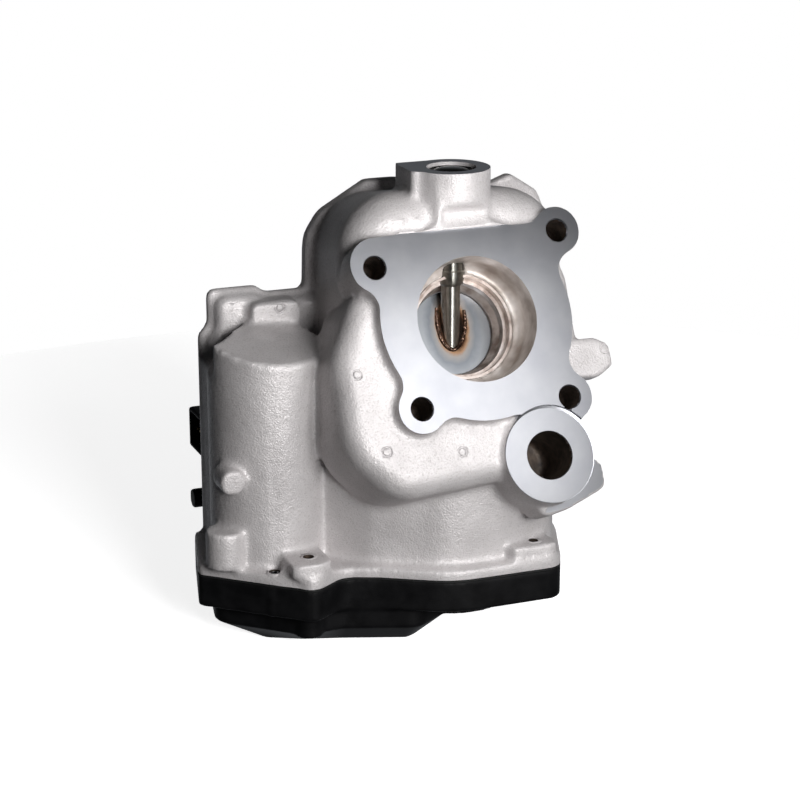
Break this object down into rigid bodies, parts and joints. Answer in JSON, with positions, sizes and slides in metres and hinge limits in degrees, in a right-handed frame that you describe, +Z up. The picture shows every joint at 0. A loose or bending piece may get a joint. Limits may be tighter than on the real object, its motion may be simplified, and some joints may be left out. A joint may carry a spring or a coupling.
{
  "type": "exhaust gas recirculation valve",
  "caption": "Water-cooled exhaust gas recirculation valve: cast body with leaning flange, gas bore with flap, coolant port, motor tower and gear cover with socket.",
  "frame": {"origin": "centre of the gas inlet bore on the milled flange face", "axes": "+Z up along the flap shaft, +Y backwards to the rear joint face, +X to the right seen from the flange; the flange face leans back 25.5 degrees from upright"},
  "size_m": [0.1452, 0.1094, 0.1632],
  "materials": {
    "casting": "sand-textured cast aluminium with milled faces",
    "liner": "turned stainless steel, slightly heat tinted",
    "bush": "sintered steel",
    "seal": "moulded",
    "bearing": "ground",
    "plug": "pressed sheet",
    "spring": "drawn wire",
    "can": "zinc plated",
    "inner_plastic": "moulded",
    "magnet": "ferrite",
    "carbon": "pressed carbon",
    "bracket": "stamped, zinc plated",
    "screw": "zinc plated",
    "pin": "ground",
    "cover": "moulded, glass filled",
    "gasket": "moulded",
    "board": "coated board",
    "terminal": "tin plated brass",
    "shaft": "ground, heat tinted",
    "disc": "stamped stainless steel",
    "weld": "weld bead with heat tint",
    "gear_plastic": "moulded",
    "pinion": "hobbed",
    "armature": "laminations and copper wire"
  },
  "bodies": {
    "valve_body": {"housing": "casting", "gas_liner": "liner", "upper_bush": "bush", "lower_bush": "bush", "shaft_seal": "seal", "shaft_bearing": "bearing", "top_plug": "plug", "return_spring": "spring", "motor_can": "can", "motor_end_cap": "inner_plastic", "motor_magnets": "magnet", "motor_brushes": "carbon", "motor_damper": "seal", "motor_bracket": "bracket", "motor_screws": "screw", "idler_pin": "pin", "gear_cover": "cover", "cover_gasket": "gasket", "cover_screws": "screw", "cover_dowel": "pin", "sensor_board": "board", "connector_terminals": "terminal"},
    "flap": {"valve_shaft": "shaft", "flap_disc": "disc", "disc_weld": "weld", "sector_gear": "gear_plastic", "sensor_magnet": "magnet"},
    "idler": {"idler_gear": "gear_plastic"},
    "motor_rotor": {"motor_shaft": "pin", "motor_pinion": "pinion", "motor_armature": "armature"}
  },
  "joints": [
    {"name": "flap_turn", "type": "hinge", "parent": "valve_body", "child": "flap", "pos_m": [0, 0.02392, -0.01141], "axis": [0, 0, 1], "range_deg": [0, 85], "stiffness_Nm_per_rad": 0.05, "springref_deg": -20.05},
    {"name": "idler_turn", "type": "hinge", "parent": "valve_body", "child": "idler", "pos_m": [-0.03552, 0.03231, -0.09941], "axis": [0, 0, 1], "range_deg": [-393, 0]},
    {"name": "motor_turn", "type": "hinge", "parent": "valve_body", "child": "motor_rotor", "pos_m": [-0.0647, 0.03347, -0.06141], "axis": [0, 0, 1], "range_deg": [0, 1995]}
  ],
  "couplings": [
    {"joint": "idler_turn", "follows": "flap_turn", "ratio": -4.6154},
    {"joint": "motor_turn", "follows": "flap_turn", "ratio": 23.462}
  ]
}
